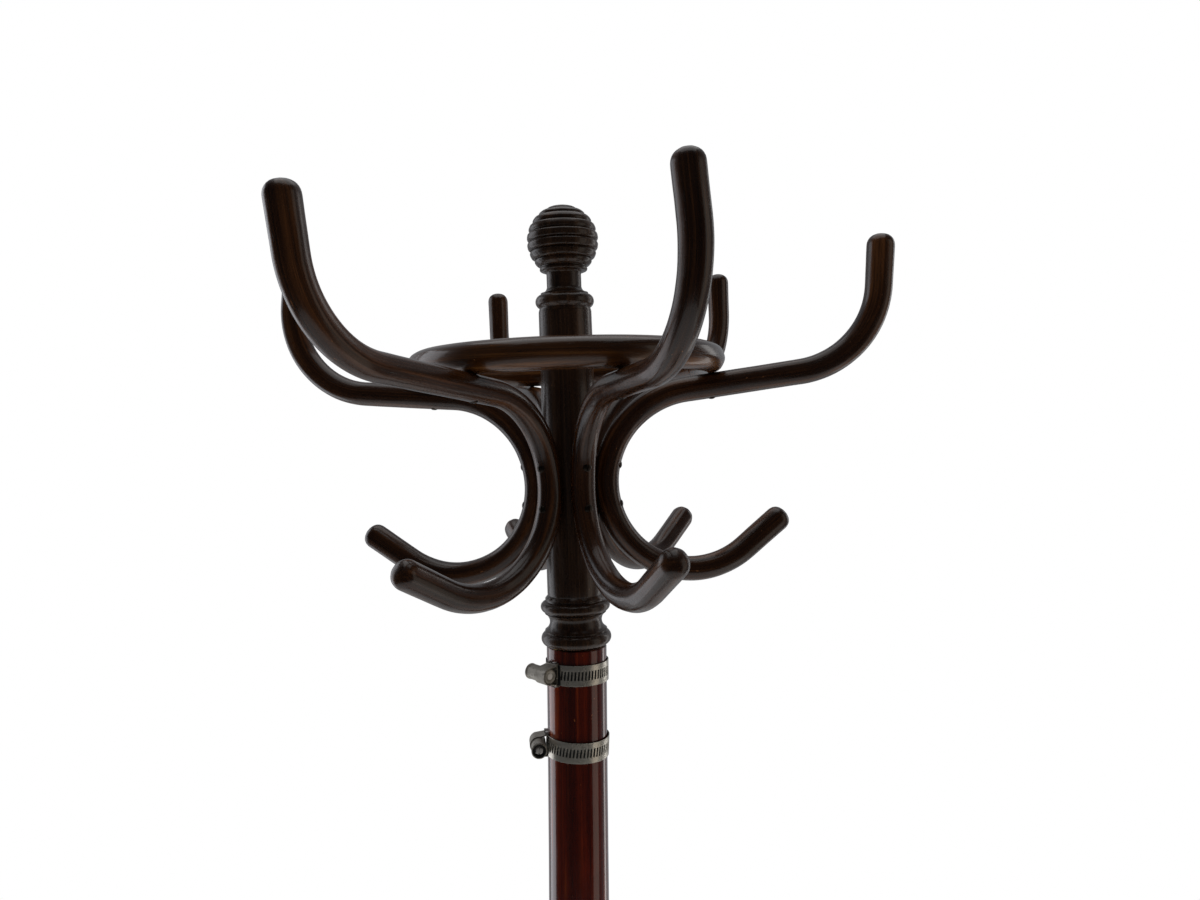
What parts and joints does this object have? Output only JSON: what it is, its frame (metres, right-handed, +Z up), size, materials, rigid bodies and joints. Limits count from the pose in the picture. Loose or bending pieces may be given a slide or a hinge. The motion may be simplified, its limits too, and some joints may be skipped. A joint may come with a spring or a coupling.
{
  "type": "coat stand",
  "caption": "Free-standing bentwood coat stand with a turning head of double hooks, a hat ring, an umbrella ring and hose clamps that bind the split post top.",
  "frame": {"origin": "on the floor under the middle of the stand, on the lower post's axis", "axes": "+Z up; -Y is the front; +X is to the right when seen from the front"},
  "size_m": [0.589, 0.589, 1.8499],
  "materials": {
    "bentwood_dark": "semi-gloss dark walnut varnish, worn",
    "hoop_brown": "semi-gloss brown varnish, grain showing",
    "turned_dark": "semi-gloss dark varnish",
    "mahogany": "glossy red mahogany lacquer",
    "leg_dark": "semi-gloss dark walnut varnish, worn",
    "screw_steel": "blackened steel, slots rubbed bright",
    "brass": "plain turned brass",
    "pin_steel": "turned steel",
    "glide_steel": "pressed steel, scuffed",
    "clamp_band_steel": "stainless strip, slightly dull",
    "clamp_housing_zinc": "zinc-plated steel, matt grey",
    "clamp_screw_steel": "plated steel"
  },
  "bodies": {
    "stand": {"lower_post": "mahogany", "post_drop": "mahogany", "leg_1": "leg_dark", "leg_2": "leg_dark", "leg_3": "leg_dark", "leg_4": "leg_dark", "umbrella_ring": "leg_dark", "lower_hoop": "leg_dark", "leg_screws": "screw_steel", "hoop_screws": "screw_steel", "glides": "glide_steel", "swivel_pin": "pin_steel", "swivel_washer": "brass", "clamp_band_upper": "clamp_band_steel", "clamp_housing_upper": "clamp_housing_zinc", "clamp_band_lower": "clamp_band_steel", "clamp_housing_lower": "clamp_housing_zinc"},
    "head": {"hook_arm_1": "bentwood_dark", "hook_arm_2": "bentwood_dark", "hook_arm_3": "bentwood_dark", "hook_arm_4": "bentwood_dark", "hook_arm_5": "bentwood_dark", "hook_arm_6": "bentwood_dark", "head_column": "turned_dark", "hat_ring": "hoop_brown", "arm_screws": "screw_steel", "ring_screws": "screw_steel", "finial": "turned_dark", "swivel_bush": "brass"},
    "screw_upper": {"clamp_screw_upper": "clamp_screw_steel"},
    "screw_lower": {"clamp_screw_lower": "clamp_screw_steel"}
  },
  "joints": [
    {"name": "head_swivel", "type": "hinge", "parent": "stand", "child": "head", "pos_m": [0, 0, 1.487], "axis": [-0.0257, 0, 0.9997], "continuous": true},
    {"name": "clamp_screw_upper_turn", "type": "hinge", "parent": "stand", "child": "screw_upper", "pos_m": [-0.02978, -0.01584, 1.46561], "axis": [-0.6428, 0.7658, -0.0201], "continuous": true},
    {"name": "clamp_screw_lower_turn", "type": "hinge", "parent": "stand", "child": "screw_lower", "pos_m": [-0.03223, -0.00985, 1.40411], "axis": [0.0871, -0.9962, -0.0038], "continuous": true}
  ]
}
